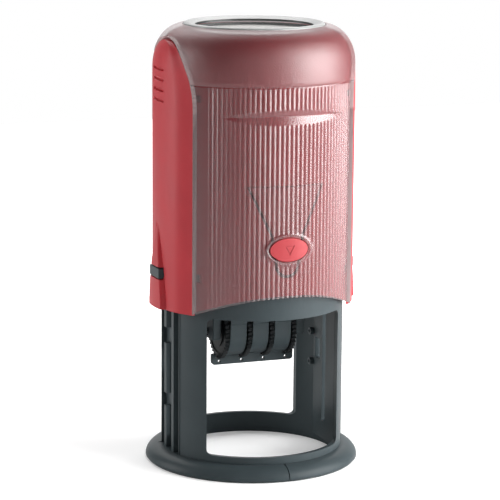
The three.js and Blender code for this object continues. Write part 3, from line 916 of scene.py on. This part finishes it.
def anvil():
    body = block(-11.3, 11.3, -1.6, 1.6, AXLE_Z + 1.5, AXLE_Z + 4.9)
    add(body, block(-9.4, 9.4, -1.6, 1.6, AXLE_Z + 4.5, AXLE_Z + 6.9))
    add(body, rod_x(1.55, -9.4, 9.4, 0, AXLE_Z + 6.9))
    finish_piece(body, "band_anvil", "rotor", INNER_BLACK, ["anvil"], bevel=0.08)


# ------------------------------------------------------------------ ink cartridge and spring


def ink_cartridge():
    low, high = bottom("pad_tray"), top("pad_tray")
    radius = reach("pad_tray", 0)
    roof = 69.8
    tray = [(0, roof), (22.5, roof), (22.5, low), (radius, low), (radius, high), (0, high)]
    finish_piece(revolve("tray", tray), "ink_tray", "base", INNER_BLACK, ["pad_tray"],
                 bevel=0.2)
    low, high = bottom("ink_pad"), top("ink_pad")
    radius = reach("ink_pad", 0)
    pillow = [(radius * i / 30, low - 0.3 * (1 - (i / 30) ** 2)) for i in range(29)]
    pillow += [(radius - 0.5 + u, low + 0.5 + v) for u, v in arc(0, 0, 0.5, -80, 0, 6)]
    pillow += [(radius, high), (0, high)]
    pad = finish_piece(revolve("pad", pillow), "ink_felt", "base", INK_FELT, ["ink_pad"])


def cartridge_bridge():
    low, high = bottom("pad_housing"), top("pad_housing")
    deck_low, deck_high = 71.7, 73.4
    deck = [(0, deck_low), (25.2, deck_low), (25.2, deck_high), (16.8, deck_high), (16.8, high)]
    deck += [(15.6, high), (15.6, deck_high), (0, deck_high)]
    body = revolve("deck", deck)
    for side in (-1, 1):
        post = block(*span(side, 23.9, 25.5), -7.4, 7.4, low, deck_low + 0.5)
        inside = [(0, low - 1), (25.2, low - 1), (25.2, deck_high), (0, deck_high)]
        add(body, combine(post, revolve("inside", inside), "INTERSECT"))
    finish_piece(body, "pad_bridge", "base", INNER_BLACK, ["pad_housing"], bevel=0.2)


def return_spring():
    """The tapered coil that flattens onto the bridge as the handle goes down, drawn at the height of
    the CAD's spring.
    """
    wire, turns, per_turn, section = 0.7, 5, 56, 14
    low, high = bottom("return_spring") + wire, top("return_spring") - wire
    verts, faces = [], []
    steps = turns * per_turn
    for i in range(steps + 1):
        along = i / steps
        angle = 2 * math.pi * turns * along
        for k in range(section):
            turn = 2 * math.pi * k / section
            radius = 13.8 - 4 * along + wire * math.cos(turn)
            z = low + (high - low) * along + wire * math.sin(turn)
            verts.append((radius * math.cos(angle), radius * math.sin(angle), z))
    for i in range(steps):
        here, ahead = section * i, section * (i + 1)
        for k in range(section):
            n = (k + 1) % section
            faces.append([here + k, here + n, ahead + n, ahead + k])
    faces.append(list(range(section)))
    faces.append([section * steps + k for k in reversed(range(section))])
    coil = new_object("coil", verts, faces)
    finish_piece(coil, "coil_spring", "base", STEEL, ["return_spring"])
    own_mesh(coil)


# ------------------------------------------------------------------ stage, light, camera


AMBIENT = 0.07
LIT_POINT = (0, 0, 0.075)
FLOOR_HALF = 0.7


def area_light(name, place, size, power):
    data = bpy.data.lights.new(name, "AREA")
    data.shape = "RECTANGLE"
    data.size, data.size_y = size
    data.energy = power
    light = bpy.data.objects.new(name, data)
    bpy.context.collection.objects.link(light)
    light.location = place
    light.visible_camera = False
    light.rotation_euler = (Vector(LIT_POINT) - Vector(place)).to_track_quat("-Z", "Y").to_euler()


def seen_directly(nodes, links, indirect, direct):
    """One value for what the eye sees, another for what lights the object."""
    rays = nodes.new("ShaderNodeLightPath")
    return spread(nodes, links, rays.outputs["Is Camera Ray"], indirect, direct)


def stage():
    """A white sheet under the object that runs into the white behind it, and the softboxes."""
    corners = [(x * FLOOR_HALF, y * FLOOR_HALF, 0) for x, y in ((-1, -1), (1, -1), (1, 1), (-1, 1))]
    mesh = bpy.data.meshes.new("floor")
    mesh.from_pydata(corners, [], [(0, 1, 2, 3)])
    floor = bpy.data.objects.new("floor", mesh)
    bpy.context.collection.objects.link(floor)
    material, nodes, links, principled = shader("paper_floor")
    tone = ramp(nodes, links, noise(nodes, links, 6.0), (0.86, 0.86, 0.86), (0.9, 0.9, 0.9))
    links.new(tone, principled.inputs["Base Color"])
    principled.inputs["Roughness"].default_value = 0.9
    principled.inputs["Specular IOR Level"].default_value = 0.1
    principled.inputs["Emission Color"].default_value = (1, 1, 1, 1)
    # Painted light: the floor glows for the eye only, faintly near the object and fully from 0.3 m out,
    # so it runs into the white behind.
    glow = seen_directly(nodes, links, 0.0, 1.0)
    links.new(placed(nodes, links, "XY", 0.03, 0.30, 0.22, 1.0), glow.node.inputs["To Max"])
    links.new(glow, principled.inputs["Emission Strength"])
    mesh.materials.append(material)
    world = bpy.data.worlds.new("studio")
    bpy.context.scene.world = world
    world.use_nodes = True
    nodes, links = world.node_tree.nodes, world.node_tree.links
    nodes["Background"].inputs["Color"].default_value = (1, 1, 1, 1)
    links.new(seen_directly(nodes, links, AMBIENT, 1.0), nodes["Background"].inputs["Strength"])
    area_light("key_right", (0.38, -0.26, 0.20), (0.46, 0.40), 5.9)
    area_light("side_left", (-0.50, 0.24, 0.17), (0.22, 0.40), 1.7)
    area_light("front_fill", (-0.25, -0.65, 0.35), (0.5, 0.4), 0.6)
    area_light("overhead", (0.1, 0.50, 0.62), (0.8, 0.5), 4.5)
    area_light("backdrop", (0.40, 1.05, 0.30), (1.5, 0.6), 3.0)
    bpy.context.scene.view_settings.view_transform = "Standard"


def camera():
    """The photograph's view: from the front left, a little above."""
    turn, pitch, roll = math.radians(-20.813), math.radians(10.99), math.radians(0.44)
    data = bpy.data.cameras.new("camera")
    data.sensor_width = 36.0
    data.lens = 167.37
    data.clip_start = 0.01
    cam = bpy.data.objects.new("camera", data)
    bpy.context.collection.objects.link(cam)
    level = math.cos(pitch)
    forward = Vector((-math.sin(turn) * level, math.cos(turn) * level, -math.sin(pitch)))
    right = Vector((math.cos(turn), math.sin(turn), 0))
    up = right.cross(forward)
    across = right * math.cos(roll) + up * math.sin(roll)
    upward = up * math.cos(roll) - right * math.sin(roll)
    basis = Matrix((across, upward, -forward)).transposed().to_4x4()
    cam.matrix_world = Matrix.Translation((-0.23586, -0.61840, 0.18966)) @ basis
    bpy.context.scene.camera = cam


camera()
stage()
frame_moulding()
handle_shell()
cheek(-1)
cheek(1)
clear_cover()
lock_button(-1)
lock_button(1)
top_parts()
yoke(-1)
yoke(1)
for dial, rim_x in zip(("day_tens", "day_units", "month", "year"), RIMS):
    date_wheel(dial, rim_x)
    date_band(dial)
wheel_guard()
side_plate(-1)
side_plate(1)
dial_shaft()
die_parts()
anvil()
ink_cartridge()
cartridge_bridge()
return_spring()
